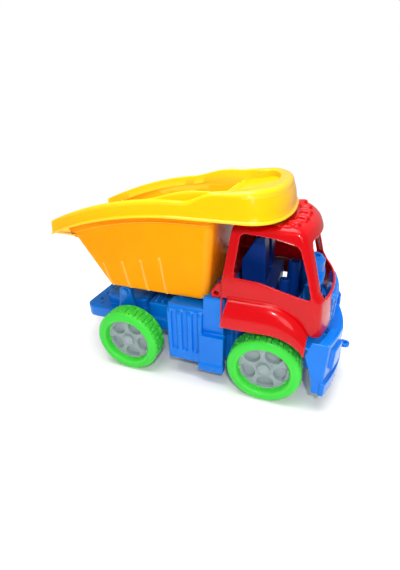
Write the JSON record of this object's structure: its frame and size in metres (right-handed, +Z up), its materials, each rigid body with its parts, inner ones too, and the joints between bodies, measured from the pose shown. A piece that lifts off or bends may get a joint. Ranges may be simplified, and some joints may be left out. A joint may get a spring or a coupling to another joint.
{
  "type": "toy dump truck",
  "caption": "Moulded plastic toy dump truck with a tipping bed on a rear hinge, an open cab with seats, a bumper with a pull ring, and wheels on steel axles.",
  "frame": {"origin": "on the ground under the middle of the toy's length and width", "axes": "+X forward, +Y to the truck's left, +Z up"},
  "size_m": [0.388, 0.178, 0.257],
  "materials": {
    "blue_plastic": "glossy moulded plastic",
    "dark_blue_plastic": "glossy moulded plastic",
    "red_plastic": "glossy moulded plastic",
    "orange_plastic": "glossy moulded plastic",
    "yellow_plastic": "glossy moulded plastic",
    "tyre_green": "softer green moulded plastic, semi gloss",
    "grey_plastic": "grey moulded plastic, satin gloss",
    "steel": "drawn steel rod",
    "spring_steel": "pressed spring steel",
    "zinc_steel": "zinc plated"
  },
  "bodies": {
    "truck": {"chassis": "blue_plastic", "bumper": "blue_plastic", "cab_shell": "red_plastic", "seat_unit": "dark_blue_plastic", "dashboard": "dark_blue_plastic", "steering_column": "dark_blue_plastic", "gear_post": "dark_blue_plastic", "hinge_pin": "blue_plastic", "screws": "zinc_steel"},
    "bed": {"bed_tub": "orange_plastic", "bed_rim": "yellow_plastic"},
    "front_wheels": {"front_axle": "steel", "front_push_nuts": "spring_steel", "tyre_front_left": "tyre_green", "disc_front_left": "grey_plastic", "hub_cap_front_left": "grey_plastic", "tyre_front_right": "tyre_green", "disc_front_right": "grey_plastic", "hub_cap_front_right": "grey_plastic"},
    "rear_wheels": {"rear_axle": "steel", "rear_push_nuts": "spring_steel", "tyre_rear_left": "tyre_green", "disc_rear_left": "grey_plastic", "hub_cap_rear_left": "grey_plastic", "tyre_rear_right": "tyre_green", "disc_rear_right": "grey_plastic", "hub_cap_rear_right": "grey_plastic"}
  },
  "joints": [
    {"name": "bed_tip", "type": "hinge", "parent": "truck", "child": "bed", "pos_m": [-0.108, 0, 0.1], "axis": [0, -1, 0], "range_deg": [0, 50]},
    {"name": "front_roll", "type": "hinge", "parent": "truck", "child": "front_wheels", "pos_m": [0.095, 0, 0.045], "axis": [0, 1, 0], "continuous": true},
    {"name": "rear_roll", "type": "hinge", "parent": "truck", "child": "rear_wheels", "pos_m": [-0.09, 0, 0.045], "axis": [0, 1, 0], "continuous": true}
  ]
}
